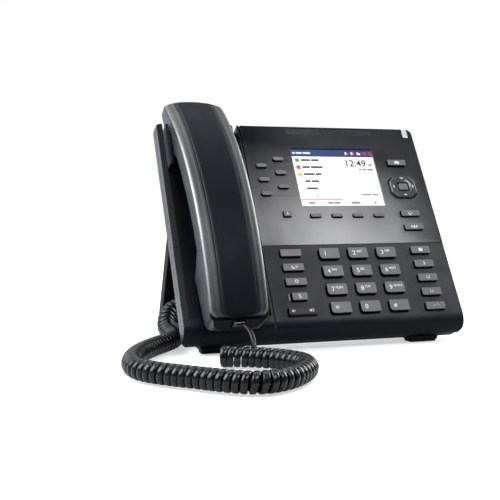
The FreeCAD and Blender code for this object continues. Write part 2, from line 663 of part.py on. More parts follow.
def handset_shells():
    cavity = handset_solid(WALL)
    full = handset_solid(0.0)
    outer = full.cut([split_cylinder(HS_ARC - HS_SPLIT + 0.05), cavity])
    inner = full.common(split_cylinder(HS_ARC - HS_SPLIT - 0.05)).cut(cavity)
    hole, ring = SOUND_HOLES
    holes = [drum(HS_U, RECEIVER_V, hole, -25, 0)]
    for step in range(6):
        angle = step * math.pi / 3
        holes.append(drum(HS_U + ring * math.cos(angle), RECEIVER_V + ring * math.sin(angle), hole, -25, 0))
    holes.append(block(HS_U - 3, HS_U + 3, -104.7, -103.3, -5, 8))
    holes.append(block(HS_U - 5.2, HS_U + 5.2, HS_END - 2, HS_END + 7, JACK_N - 4.2, JACK_N + 4.0))
    return outer, inner.cut(holes)


def is_back_edge(centre, edge):
    """The edges where the handset's arched back meets its sides and ends."""
    middle = edge.valueAt((edge.FirstParameter + edge.LastParameter) / 2)
    radius = math.hypot(middle.y - HS_PEAK_V, middle.z - HS_PEAK_N + HS_ARC)
    return radius > HS_ARC - WALL - 0.2 and abs(edge.tangentAt(edge.FirstParameter).z) < 0.95


def handset_receiver():
    seat = handset_rest_n(RECEIVER_V - 13) + WALL + 0.1
    capsule = drum(HS_U, RECEIVER_V, 13, seat, seat + 5)
    return fuse([capsule, drum(HS_U, RECEIVER_V, 7, seat + 4.9, seat + 6.8)])


def handset_microphone():
    v, radius, bottom, top = MICROPHONE
    return drum(HS_U, v, radius, bottom, top)


def handset_plug():
    body = block(HS_U - 3.8, HS_U + 3.8, HS_END + 0.4, HS_END + 12, JACK_N - 3.0, JACK_N + 3.2)
    latch = block(HS_U - 1.6, HS_U + 1.6, HS_END + 1.2, HS_END + 9, JACK_N - 3.6, JACK_N - 2.9)
    return fuse([body, latch])


# ---- cord ----
COIL_RADIUS = 6.6
LEAD_RADIUS = 1.6
COIL_PATH = [(-88.6, -103.2, 6.8), (-62.1, -119.5, 6.8), (-48.5, -140.0, 6.8), (-59.9, -167.9, 6.8),
             (-89.0, -184.6, 6.8), (-123.1, -160.0, 6.8), (-149.2, -126.3, 6.8), (-146.5, -94.8, 6.8),
             (-120.3, -49.4, 6.8), (-102.4, -20.0, 6.8), (-103.2, 5.0, 10.4), (-93.5, 23.0, 21.6),
             (-72.0, 29.0, 22.5)]
FRONT_LEAD = [(-72.0, -82.7, 21.4), (-70.0, -85.6, 22.6), (-67.8, -88.8, 21.0), (-66.4, -93.0, 17.2),
              (-66.8, -97.2, 13.3), (-69.5, -108.5, 9.0)]
REAR_LEAD = [(-75.0, 28.8, 22.3), (-56.0, 26.0, 26.0), (-44.0, 10.0, 34.0), (-40.0, -0.5, 37.2)]


def hose(points, radius, spacing=11.0):
    """A round hose along a smooth curve, lofted through circles set square to it."""
    curve = Part.BSplineCurve()
    curve.interpolate([Vector(*point) for point in points])
    start, end = curve.FirstParameter, curve.LastParameter
    count = max(6, int(curve.length() / spacing))
    rings = []
    for index in range(count + 1):
        place = start + (end - start) * index / count
        rings.append(Part.Wire(Part.makeCircle(radius, curve.value(place), curve.tangent(place)[0])))
    return Part.makeLoft(rings, True, False)


def coiled_cord():
    return fuse([hose(COIL_PATH, COIL_RADIUS), hose(FRONT_LEAD, LEAD_RADIUS), hose(REAR_LEAD, LEAD_RADIUS)])


def base_plug():
    u = JACKS[0][1]
    return block(u - 3.7, u + 3.7, JACK_V - 3.2, JACK_V + 3.2, -REAR_DEPTH - 7, -REAR_DEPTH + 10)


# ---- build ----
os.makedirs("parts", exist_ok=True)
for plain_key in key_list():
    export(plain_key[0], key_cap(*plain_key))
export("volume_rocker", volume_rocker())
export("nav_ring", nav_ring())
export("nav_gimbal", nav_gimbal())
export("nav_select", select_key())
export("upper_housing", upper_housing())
export("rear_housing", rear_housing())
export("rear_jacks", rear_jacks())
export("housing_screws", Part.makeCompound([screw(u, v) for u, v in SCREWS]))
export("display_window", display_window())
export("display_module", display_module())
export("name_plate", name_plate())
export("lamp_lenses", lamp_lenses())
export("keypad_mat", keypad_mat())
export("main_board", main_board())
export("loudspeaker", loudspeaker())
export("hook_lever", hook_lever())
handset_outer, handset_inner = handset_shells()
export("handset_outer_shell", handset_outer)
export("handset_inner_shell", handset_inner)
export("handset_receiver", handset_receiver())
export("handset_microphone", handset_microphone())
export("handset_plug", handset_plug())
export("base_plug", base_plug())
export("stand_legs", Part.makeCompound([stand_leg(u) for u in LEG_U]), in_face=False)
export("rubber_feet", rubber_feet(), in_face=False)
export("coiled_cord", coiled_cord(), in_face=False)
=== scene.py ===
import json
import math

import bmesh
import bpy
import numpy as np
from mathutils import Matrix, Vector


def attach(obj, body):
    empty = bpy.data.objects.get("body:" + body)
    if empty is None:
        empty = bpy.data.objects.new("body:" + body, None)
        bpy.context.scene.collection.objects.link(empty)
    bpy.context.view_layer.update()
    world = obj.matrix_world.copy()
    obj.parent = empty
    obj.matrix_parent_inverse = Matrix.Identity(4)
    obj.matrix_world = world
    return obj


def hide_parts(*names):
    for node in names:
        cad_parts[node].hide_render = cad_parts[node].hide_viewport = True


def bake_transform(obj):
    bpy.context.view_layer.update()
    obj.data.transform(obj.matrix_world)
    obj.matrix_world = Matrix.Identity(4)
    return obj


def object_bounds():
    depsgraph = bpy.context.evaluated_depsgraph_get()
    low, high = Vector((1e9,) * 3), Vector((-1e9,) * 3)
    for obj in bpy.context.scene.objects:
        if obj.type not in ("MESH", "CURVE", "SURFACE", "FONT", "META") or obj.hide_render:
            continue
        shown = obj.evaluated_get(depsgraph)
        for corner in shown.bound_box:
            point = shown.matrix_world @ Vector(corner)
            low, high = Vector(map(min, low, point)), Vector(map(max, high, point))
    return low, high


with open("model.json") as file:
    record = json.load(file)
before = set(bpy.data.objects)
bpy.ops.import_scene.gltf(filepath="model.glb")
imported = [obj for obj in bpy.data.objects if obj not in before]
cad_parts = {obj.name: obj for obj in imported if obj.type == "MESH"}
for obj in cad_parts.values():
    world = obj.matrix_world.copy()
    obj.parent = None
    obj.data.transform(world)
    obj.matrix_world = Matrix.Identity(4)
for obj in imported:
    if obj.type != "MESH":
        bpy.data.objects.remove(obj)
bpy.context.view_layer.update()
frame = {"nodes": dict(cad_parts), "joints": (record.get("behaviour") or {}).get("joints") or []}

NODES = frame["nodes"]
MM = 0.001

# ---------------------------------------------------------------- the face frame
# u runs across the face, v up its slope and n out of it, in millimetres from the display's centre.
LIFT = next(joint for joint in frame["joints"] if joint["name"] == "handset_lift")
ACROSS = Vector((1, 0, 0))
OUT = Vector(LIFT["axis"]).normalized()
UP = OUT.cross(ACROSS)
TURN = Matrix((ACROSS, UP, OUT)).transposed()


def node_points(node):
    """A CAD node's vertices as an array of (u, v, n), in metres from the row's origin."""
    mesh = NODES[node].data
    points = np.zeros(len(mesh.vertices) * 3)
    mesh.vertices.foreach_get("co", points)
    return points.reshape(-1, 3) @ np.array(TURN)


_window = node_points("display_window")
_shell = node_points("upper_housing")
CENTRE = (_window.min(0) + _window.max(0)) / 2
CENTRE[2] = _shell[:, 2].max()
ORIGIN = TURN @ Vector(CENTRE)


def face(u, v, n=0.0):
    """Row-frame point of a place on the face."""
    return ORIGIN + (ACROSS * u + UP * v + OUT * n) * MM


def face_box(node):
    """(u0, v0, n0), (u1, v1, n1) of a CAD node, in millimetres in the face frame."""
    points = (node_points(node) - CENTRE) / MM
    return points.min(0), points.max(0)


# ---------------------------------------------------------------- materials
class Graph:
    """Short-hand for building one material's node graph."""

    def __init__(self, name):
        self.material = bpy.data.materials.new(name)
        self.material.use_nodes = True
        self.tree = self.material.node_tree
        self.shader = self.tree.nodes["Principled BSDF"]

    def node(self, kind, inputs=None, **settings):
        made = self.tree.nodes.new("ShaderNode" + kind)
        for key, value in settings.items():
            setattr(made, key, value)
        for key, value in (inputs or {}).items():
            self.put(made.inputs[key], value)
        return made

    def put(self, socket, value):
        if isinstance(value, bpy.types.NodeSocket):
            self.tree.links.new(value, socket)
        else:
            socket.default_value = value

    def math(self, operation, a, b=0.0, clamp=False):
        made = self.node("Math", operation=operation, use_clamp=clamp)
        self.put(made.inputs[0], a)
        self.put(made.inputs[1], b)
        return made.outputs[0]

    def position(self):
        """Position in the face frame, in millimetres, of the object at rest."""
        place = self.node("TexCoord").outputs["Object"]
        moved = self.node("VectorMath", {0: place, 1: ORIGIN}, operation="SUBTRACT").outputs[0]
        axes = []
        for axis in (ACROSS, UP, OUT):
            dot = self.node("VectorMath", {0: moved, 1: axis}, operation="DOT_PRODUCT").outputs["Value"]
            axes.append(self.math("DIVIDE", dot, MM))
        return axes

    def noise(self, size_mm, detail=2.0, roughness=0.5):
        place = self.node("TexCoord").outputs["Object"]
        made = self.node("TexNoise", {"Vector": place, "Scale": 1.0 / (size_mm * MM), "Detail": detail,
                                      "Roughness": roughness})
        return made.outputs["Fac"]

    def ramp(self, value, low, high, start, end):
        """Map value from low..high to start..end."""
        made = self.node("MapRange", {"Value": value, "From Min": low, "From Max": high, "To Min": start,
                                      "To Max": end})
        return made.outputs["Result"]

    def mix(self, factor, a, b):
        """Blend two colours; sockets 6, 7 and 2 of this node are its colour ones."""
        made = self.node("Mix", data_type="RGBA")
        self.put(made.inputs["Factor"], factor)
        self.put(made.inputs[6], a)
        self.put(made.inputs[7], b)
        return made.outputs[2]

    def bump(self, height, distance_mm, strength=1.0, normal=None):
        made = self.node("Bump", {"Height": height, "Distance": distance_mm * MM, "Strength": strength})
        if normal is not None:
            self.put(made.inputs["Normal"], normal)
        return made.outputs["Normal"]

    def facing(self, axis):
        """How far the surface faces along an axis, from -1 to 1."""
        normal = self.node("NewGeometry").outputs["Normal"]
        return self.node("VectorMath", {0: normal, 1: axis}, operation="DOT_PRODUCT").outputs["Value"]


def rgb(red, green, blue):
    return (red, green, blue, 1.0)


def grey(level, blue=0.0):
    return (level, level * (1 + blue / 2), level * (1 + blue), 1.0)


def textured(name, colour, rough, grain_mm=0.7, grain_depth=0.03, mottle=0.12, edge=0.35, metal=0.0):
    """Moulded plastic: spark-eroded grain, slight mottling and softened, faintly worn edges."""
    graph = Graph(name)
    cloud = graph.noise(14.0, 3.0)
    fine = graph.noise(grain_mm, 2.0, 0.6)
    light = tuple(min(1.0, c * (1 + mottle)) for c in colour[:3]) + (1.0,)
    dark = tuple(c * (1 - mottle) for c in colour[:3]) + (1.0,)
    shade = graph.mix(graph.ramp(fine, 0.3, 0.7, 0.0, 1.0), dark, light)
    graph.put(graph.shader.inputs["Base Color"], shade)
    worn = graph.ramp(cloud, 0.35, 0.65, rough - 0.04, rough + 0.05)
    graph.put(graph.shader.inputs["Roughness"], worn)
    graph.put(graph.shader.inputs["Metallic"], metal)
    rounded = graph.node("Bevel", {"Radius": edge * MM}, samples=4).outputs["Normal"]
    graph.put(graph.shader.inputs["Normal"], graph.bump(fine, grain_depth, 1.0, rounded))
    return graph


def glossy(name, colour, rough=0.15, edge=0.3, haze=0.03):
    """Polished plastic with faint handling haze."""
    graph = Graph(name)
    cloud = graph.noise(6.0, 4.0, 0.6)
    graph.put(graph.shader.inputs["Base Color"], colour)
    graph.put(graph.shader.inputs["Roughness"], graph.ramp(cloud, 0.3, 0.7, rough, rough + haze))
    rounded = graph.node("Bevel", {"Radius": edge * MM}, samples=4).outputs["Normal"]
    graph.put(graph.shader.inputs["Normal"], graph.bump(cloud, 0.01, 0.5, rounded))
    return graph


DOT_PITCH = 0.219


def emitting(name, colour):
    """A lit patch of the display, with its fine pixel grid."""
    graph = Graph(name)
    across, up, _ = graph.position()
    lines = graph.math("SINE", graph.math("MULTIPLY", across, 2 * math.pi / DOT_PITCH))
    rows = graph.math("SINE", graph.math("MULTIPLY", up, 2 * math.pi / DOT_PITCH))
    glow = graph.ramp(graph.math("ADD", lines, rows), -2.0, 2.0, 0.97, 1.0)
    graph.put(graph.shader.inputs["Base Color"], tuple(c * 0.15 for c in colour[:3]) + (1.0,))
    graph.put(graph.shader.inputs["Emission Color"], colour)
    graph.put(graph.shader.inputs["Emission Strength"], glow)
    graph.put(graph.shader.inputs["Roughness"], 0.25)
    return graph.material


def dull(graph, level):
    """The graph's material with weaker reflections."""
    graph.put(graph.shader.inputs["Specular IOR Level"], level)
    return graph.material


def paint(node, material):
    """Give a CAD node its material in every slot."""
    mesh = NODES[node].data
    mesh.materials.clear()
    mesh.materials.append(material)


CREASE_V = -60.2                 # where the upper panel meets the keypad plane
PANEL_LEFT = face_box("volume_rocker")[0][0] - 14.0
EDGE = 0.2                       # softness of the borders between looks, in mm


def housing_material():
    """Charcoal shell with reflection strength painted by place: a satin upper panel with a painted highlight
    that grows towards the crease, a duller keypad plane, and painted reflection on faces turned left.
    """
    graph = textured("housing_plastic", rgb(0.004, 0.005, 0.008), 0.38, 0.55, 0.02, 0.3, 0.5)
    graph.put(graph.shader.inputs["IOR"], 1.9)
    across, up, _ = graph.position()
    front = graph.ramp(graph.facing(OUT), 0.9, 0.98, 0.0, 1.0)
    panel = graph.math("MULTIPLY", front, graph.ramp(across, PANEL_LEFT - EDGE, PANEL_LEFT + EDGE, 0.0, 1.0))
    lower = graph.ramp(up, CREASE_V - EDGE, CREASE_V + EDGE, 1.0, 0.0)
    # painted highlight: reflection strength rises down the panel towards the crease and falls off to the
    # right and left
    painted_sheen = graph.ramp(graph.math("ADD", up, graph.math("MULTIPLY", across, 0.15)), 24.0, -52.0, 0.0, 1.0)
    painted_sheen = graph.math("MULTIPLY", painted_sheen, graph.ramp(across, 74.0, 40.0, 0.12, 1.0))
    painted_sheen = graph.math("MULTIPLY", painted_sheen, graph.ramp(across, -68.0, -10.0, 0.3, 1.0))
    # painted shade: weaker reflections towards the left of the panel
    faint = graph.ramp(across, -65.0, -15.0, 0.01, 0.1)
    upper_spec = graph.math("ADD", graph.math("MULTIPLY", painted_sheen, 0.88), faint)
    # painted reflection on the keypad plane, weak at the left and stronger to the right
    lower_spec = graph.ramp(across, -65.0, 70.0, 0.05, 0.22)
    panel_spec = graph.math("ADD", graph.math("MULTIPLY", upper_spec, graph.math("SUBTRACT", 1.0, lower)),
                            graph.math("MULTIPLY", lower_spec, lower))
    spec = graph.math("ADD", graph.math("MULTIPLY", panel_spec, panel),
                      graph.math("MULTIPLY", 0.03, graph.math("SUBTRACT", 1.0, panel)))
    # painted reflection on faces turned to the left
    sides = graph.ramp(graph.facing(-ACROSS), 0.6, 0.95, 0.0, 0.9)
    graph.put(graph.shader.inputs["Specular IOR Level"], graph.math("ADD", spec, sides))
    return graph.material


def key_material():
    """Painted key tops over skirts darkened to near black as painted shade."""
    graph = textured("key_paint_skirt_shade", grey(0.075, 0.05), 0.45, 0.5, 0.02, 0.25, 0.25)
    # painted shade: faces that turn away from the face, the key skirts, get a near-black colour and weak
    # reflections
    top = graph.ramp(graph.facing(OUT), 0.35, 0.75, 0.0, 1.0)
    base = graph.shader.inputs["Base Color"].links[0].from_socket
    graph.put(graph.shader.inputs["Base Color"], graph.mix(top, rgb(0.002, 0.002, 0.0025), base))
    graph.put(graph.shader.inputs["Specular IOR Level"], graph.ramp(top, 0.0, 1.0, 0.03, 0.5))
    return graph.material


def handset_material():
    """Satin charcoal with a painted highlight: reflection strength rises along the rounded sides and is
    duller down the middle.
    """
    graph = textured("handset_plastic", rgb(0.0035, 0.0045, 0.007), 0.44, 0.45, 0.012, 0.25, 0.3)
    graph.put(graph.shader.inputs["IOR"], 1.8)
    sideways = graph.math("ABSOLUTE", graph.facing(ACROSS))
    # painted highlight on faces turned sideways
    graph.put(graph.shader.inputs["Specular IOR Level"], graph.ramp(sideways, 0.05, 0.6, 0.02, 0.85))
    return graph.material


def lens_material():
    """The message lamp's pale lens, and the smoked lenses of the small lamps beside the keys."""
    graph = glossy("lens_frosted", rgb(0.42, 0.44, 0.48), 0.3)
    _, up, _ = graph.position()
    pale = graph.ramp(up, 30.0, 32.0, 0.0, 1.0)
    smoked, frosted = rgb(0.01, 0.011, 0.013), rgb(0.4, 0.42, 0.46)
    graph.put(graph.shader.inputs["Base Color"], graph.mix(pale, smoked, frosted))
    return graph.material


HOUSING = housing_material()
KEYS = key_material()
REAR = dull(textured("rear_plastic", rgb(0.005, 0.0055, 0.007), 0.5, 0.8, 0.03, 0.3), 0.2)
STAND = dull(textured("stand_plastic", rgb(0.003, 0.0033, 0.004), 0.5, 0.8, 0.03, 0.3, edge=0.8), 0.08)
HANDSET = handset_material()
CORD = dull(glossy("cord_jacket", rgb(0.003, 0.0032, 0.004), 0.24), 0.28)
NAV = glossy("nav_gloss", rgb(0.035, 0.036, 0.04), 0.22).material
ROCKER = dull(glossy("rocker_gloss", rgb(0.012, 0.012, 0.014), 0.35), 0.15)
PLATE = dull(textured("plate_satin", rgb(0.014, 0.016, 0.021), 0.3, 0.3, 0.005), 0.25)
LENS = lens_material()
RUBBER = dull(textured("rubber_black", rgb(0.003, 0.003, 0.003), 0.75, 0.5, 0.04), 0.1)
SILICONE = textured("silicone_grey", rgb(0.2, 0.2, 0.21), 0.6, 0.8, 0.02).material
BOARD = textured("solder_mask", rgb(0.02, 0.12, 0.05), 0.35, 1.0, 0.01).material
STEEL = textured("screw_steel", rgb(0.45, 0.45, 0.46), 0.3, 0.6, 0.01, metal=1.0).material
PLUG = glossy("plug_plastic", rgb(0.006, 0.006, 0.007), 0.15).material
INNER = dull(textured("inner_plastic", rgb(0.006, 0.006, 0.007), 0.5), 0.2)
WHITE_INK = textured("legend_white", rgb(0.62, 0.62, 0.64), 0.5, 0.3, 0.004, 0.03).material
RED_INK = textured("legend_red", rgb(0.32, 0.05, 0.05), 0.5, 0.3, 0.004, 0.03).material
GREEN_INK = textured("legend_green", rgb(0.07, 0.36, 0.24), 0.5, 0.3, 0.004, 0.03).material
LINE_INK = textured("leader_ink", rgb(0.02, 0.021, 0.025), 0.4, 0.3, 0.004, 0.03).material


def window_material():
    """Dark display window, of which only its gloss is seen; the picture is a separate piece laid on its face.
    """
    graph = Graph("display_glass")
    smear = graph.noise(9.0, 4.0)
    graph.put(graph.shader.inputs["Base Color"], rgb(0.01, 0.012, 0.015))
    graph.put(graph.shader.inputs["Roughness"], graph.ramp(smear, 0.3, 0.7, 0.05, 0.12))
    return graph.material


NODE_LOOKS = {
    "upper_housing": HOUSING, "rear_housing": REAR, "rear_jacks": INNER, "housing_screws": STEEL,
    "display_window": window_material(), "display_module": INNER, "name_plate": PLATE, "lamp_lenses": LENS,
    "keypad_mat": SILICONE, "main_board": BOARD, "loudspeaker": INNER, "hook_lever": INNER,
    "handset_receiver": STEEL, "handset_microphone": STEEL, "handset_plug": PLUG, "base_plug": PLUG,
    "stand_legs": STAND, "rubber_feet": RUBBER, "volume_rocker": ROCKER, "nav_ring": NAV,
    "nav_gimbal": INNER, "nav_select": KEYS, "handset_outer_shell": HANDSET, "handset_inner_shell": HANDSET,
    "coiled_cord": CORD,
}
for _name in NODES:
    paint(_name, NODE_LOOKS.get(_name, KEYS))


# ---------------------------------------------------------------- mesh helpers
def make_piece(name, points, faces, material, body, slot, smooth=True):
    """A closed mesh piece from row-frame points, riding on a CAD body."""
    mesh = bpy.data.meshes.new(name)
    mesh.from_pydata([tuple(p) for p in points], [], faces)
    mesh.materials.append(material)
    solid = bmesh.new()
    solid.from_mesh(mesh)
    bmesh.ops.recalc_face_normals(solid, faces=solid.faces)
    solid.to_mesh(mesh)
    solid.free()
    for polygon in mesh.polygons:
        polygon.use_smooth = smooth
    made = bpy.data.objects.new(name, mesh)
    bpy.context.scene.collection.objects.link(made)
    if body:
        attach(made, body)
    return made


def tube(rings):
    """Faces of a closed tube through rings of equal length, with its ends capped."""
    count = len(rings[0])
    points = [point for ring in rings for point in ring]
    faces = []
    for row in range(len(rings) - 1):
        for column in range(count):
            a = row * count + column
            b = row * count + (column + 1) % count
            faces.append((a, b, b + count, a + count))
    faces.append(tuple(range(count - 1, -1, -1)))
    faces.append(tuple(range(len(points) - count, len(points))))
    return points, faces


INK = 0.035                      # thickness of a printed mark
CAPITAL = 0.7                    # height of a capital as a share of the letters' size


class Decal:
    """Thin printed shapes on the face, gathered into one mesh. Outlines are convex, in (u, v)."""

    def __init__(self, n):
        self.n = n
        self.points = []
        self.faces = []
        self.looks = []

    def plate(self, outline, look=0, lift=0.0, thick=INK):
        start = len(self.points)
        count = len(outline)
        for level in (self.n + lift, self.n + lift + thick):
            self.points += [face(u, v, level) for u, v in outline]
        self.faces.append(tuple(range(start + count - 1, start - 1, -1)))
        self.faces.append(tuple(range(start + count, start + 2 * count)))
        for index in range(count):
            after = (index + 1) % count
            self.faces.append((start + index, start + after, start + count + after, start + count + index))
        self.looks += [look] * (count + 2)

    def bar(self, u0, u1, v0, v1, look=0, lift=0.0):
        self.plate([(u0, v0), (u1, v0), (u1, v1), (u0, v1)], look, lift)

    def disc(self, u, v, radius, look=0, lift=0.0, steps=16):
        angles = [2 * math.pi * step / steps for step in range(steps)]
        rim = [(u + radius * math.cos(a), v + radius * math.sin(a)) for a in angles]
        self.plate(rim, look, lift)

    def arc(self, u, v, inner, outer, start, end, look=0, steps=8, lift=0.0):
        """Part of a ring, in degrees, as a row of quads."""
        for step in range(steps):
            low = math.radians(start + (end - start) * step / steps)
            high = math.radians(start + (end - start) * (step + 1) / steps)
            corners = [(inner, low), (outer, low), (outer, high), (inner, high)]
            self.plate([(u + r * math.cos(a), v + r * math.sin(a)) for r, a in corners], look, lift)

    def text(self, words, u, v, height, look=0, weight=0.0, lift=0.0):
        """Lettering in the plain built-in face, its lower left corner at (u, v); height is the capitals'."""
        curve = bpy.data.curves.new("letters", "FONT")
        curve.body = words
        curve.size = height / CAPITAL
        curve.offset = weight
        curve.resolution_u = 3
        carrier = bpy.data.objects.new("letters", curve)
        bpy.context.scene.collection.objects.link(carrier)
        bpy.context.view_layer.update()
        flat = carrier.evaluated_get(bpy.context.evaluated_depsgraph_get()).to_mesh()
        for polygon in flat.polygons:
            outline = [(u + flat.vertices[i].co.x, v + flat.vertices[i].co.y) for i in polygon.vertices]
            self.plate(outline, look, lift)
        bpy.data.objects.remove(carrier)
        bpy.data.curves.remove(curve)

    def build(self, name, materials, body, slot):
        made = make_piece(name, self.points, self.faces, materials[0], None, slot, smooth=False)
        for material in materials[1:]:
            made.data.materials.append(material)
        made.data.polygons.foreach_set("material_index", self.looks)
        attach(made, body)
        return made


# ---------------------------------------------------------------- key legends
def receiver_icon(decal, u, v, size, turn=135.0, look=0):
    """A telephone receiver: an arc with a block at each end."""
    decal.arc(u, v, size * 0.75, size * 1.1, turn - 52, turn + 52, look)
    for side in (-52, 52):
        angle = math.radians(turn + side)
        middle = (u + size * 0.78 * math.cos(angle), v + size * 0.78 * math.sin(angle))
        decal.disc(middle[0], middle[1], size * 0.42, look, steps=8)


def person_icon(decal, u, v, size, look=0):
    decal.disc(u, v + size * 0.55, size * 0.4, look)
    decal.arc(u, v - size * 0.75, 0.0, size * 0.75, 0, 180, look)


def speaker_icon(decal, u, v, size, waves, look=0):
    decal.bar(u - size, u - size * 0.35, v - size * 0.4, v + size * 0.4, look)
    decal.plate([(u - size * 0.35, v - size * 0.4), (u + size * 0.25, v - size), (u + size * 0.25, v + size),
                 (u - size * 0.35, v + size * 0.4)], look)
    for wave in range(waves):
        radius = size * (0.75 + 0.55 * wave)
        decal.arc(u + size * 0.1, v, radius, radius + size * 0.25, -42, 42, look)


def legend_for(name):
    """(draw, ink) for each key that carries a mark; draw works on a decal around the key's centre."""
    digits = {"1": "", "2": "ABC", "3": "DEF", "4": "GHI", "5": "JKL", "6": "MNO", "7": "PQRS", "8": "TUV",
              "9": "WXYZ", "0": "", "star": "", "hash": ""}
    short = name[4:]

    def digit(decal, u, v):
        sign = {"star": "*", "hash": "#"}.get(short, short)
        low, height = {"star": (v - 3.4, 5.0), "hash": (v - 1.5, 3.0)}.get(short, (v - 1.8, 3.6))
        decal.text(sign, u - 4.7, low, height, weight=0.04)
        if digits[short]:
            decal.text(digits[short], u - 1.3, v + 0.2, 1.75, weight=0.03)

    def end_call(decal, u, v):
        receiver_icon(decal, u, v - 1.2, 1.6, 90)

    def redial(decal, u, v):
        receiver_icon(decal, u, v + 0.1, 1.5, 225)
        for radius in (0.9, 1.7):
            decal.arc(u + 0.8, v, radius, radius + 0.3, -35, 50)

    def options(decal, u, v):
        decal.arc(u, v, 0.85, 1.35, 0, 360, steps=16)
        for tooth in range(8):
            angle = tooth * math.pi / 4
            decal.disc(u + 1.45 * math.cos(angle), v + 1.45 * math.sin(angle), 0.3, steps=6)

    def mute(decal, u, v):
        decal.bar(u - 0.45, u + 0.45, v - 0.4, v + 1.6)
        decal.arc(u, v - 0.2, 0.85, 1.15, 180, 360)
        decal.bar(u - 0.15, u + 0.15, v - 1.9, v - 1.2)
        decal.plate([(u - 1.5, v + 1.5), (u - 1.2, v + 1.7), (u + 1.5, v - 1.5), (u + 1.2, v - 1.7)])

    def callers(decal, u, v):
        decal.bar(u - 1.5, u + 1.5, v - 1.3, v + 0.2)
        decal.arc(u, v - 0.6, 1.3, 2.0, 25, 155)

    def hold(decal, u, v):
        for side in (-0.75, 0.75):
            decal.disc(u, v + side, 0.55)

    def directory(decal, u, v):
        for side in (-1, 1):
            decal.plate([(u, v - 1.1), (u + side * 1.9, v - 1.4), (u + side * 1.9, v + 0.9), (u, v + 1.2)])

    def transfer(decal, u, v):
        receiver_icon(decal, u - 0.4, v - 0.3, 1.4, 215)
        decal.arc(u - 0.2, v - 0.6, 1.4, 1.7, 20, 80)
        decal.plate([(u + 0.9, v - 0.4), (u + 1.9, v - 0.4), (u + 1.4, v - 1.2)])

    def conference(decal, u, v):
        for side in (-2.1, 0.0, 2.1):
            person_icon(decal, u + side, v + (0.1 if side else -0.1), 1.15 if side else 1.35)

    def speaker_key(decal, u, v):
        speaker_icon(decal, u - 1.0, v, 1.0, 1)
        receiver_icon(decal, u + 1.7, v, 1.2, 45)

    def line(decal, u, v):
        decal.text("L" + short[-1], u - 1.5, v - 1.1, 2.3)

    def presence(decal, u, v):
        person_icon(decal, u, v, 1.1)

    if short == "end_call":
        return end_call, RED_INK
    if short == "speaker":
        return speaker_key, GREEN_INK
    drawings = {"redial": redial, "options": options, "mute": mute, "callers": callers, "hold": hold,
                "directory": directory, "transfer": transfer, "conference": conference, "line_1": line,
                "line_2": line, "presence": presence}
    return (digit if short in digits else drawings.get(short)), WHITE_INK


def key_legends():
    for name in sorted(NODES):
        if not name.startswith("key_"):
            continue
        draw, ink = legend_for(name)
        if draw is None:
            continue
        low, high = face_box(name)
        top = key_top(name)
        decal = Decal(top)
        draw(decal, (low[0] + high[0]) / 2, (low[1] + high[1]) / 2)
        decal.build("legend_" + name[4:], [ink], name, "keys")


def key_top(node):
    """Height of a key's flat top: the level that holds the most area facing out."""
    areas = {}
    for polygon in NODES[node].data.polygons:
        if polygon.normal.dot(OUT) > 0.99:
            level = round((polygon.center - ORIGIN).dot(OUT) / MM, 1)
            areas[level] = areas.get(level, 0.0) + polygon.area
    return max(areas, key=areas.get)


def rocker_legend():
    low, high = face_box("volume_rocker")
    middle = (low[1] + high[1]) / 2
    decal = Decal(high[2])
    speaker_icon(decal, low[0] + 3.4, middle, 1.15, 1)
    speaker_icon(decal, high[0] - 5.0, middle, 1.3, 2)
    decal.build("legend_volume", [WHITE_INK], "volume_rocker", "rocker")


def nav_marks():
    """Four small raised bars on the ring."""
    low, high = face_box("nav_ring")
    u, v = (low[0] + high[0]) / 2, (low[1] + high[1]) / 2
    decal = Decal(high[2] - 0.12)
    reach_u, reach_v = (high[0] - low[0]) / 2 - 2.6, (high[1] - low[1]) / 2 - 1.7
    for side in (-1, 1):
        decal.plate([(u - 1.5, v + side * reach_v - 0.3), (u + 1.5, v + side * reach_v - 0.3),
                     (u + 1.2, v + side * reach_v + 0.3), (u - 1.2, v + side * reach_v + 0.3)], thick=0.2)
        decal.plate([(u + side * reach_u - 0.3, v - 1.4), (u + side * reach_u + 0.3, v - 1.2),
                     (u + side * reach_u + 0.3, v + 1.2), (u + side * reach_u - 0.3, v + 1.4)], thick=0.2)
    decal.build("nav_marks", [WHITE_INK], "nav_ring", "nav_gloss")


def leader_lines():
    """Fine printed lines from the feature keys to the display's edge."""
    edge = face_box("display_window")[0][0] + 2.4
    decal = Decal(0.0)
    for index in range(1, 7):
        low, high = face_box(f"key_feature_{index}")
        v = (low[1] + high[1]) / 2
        decal.bar(high[0] + 0.2, edge - 0.3, v - 0.14, v + 0.14)
    decal.build("leader_lines", [LINE_INK], "root", "housing")


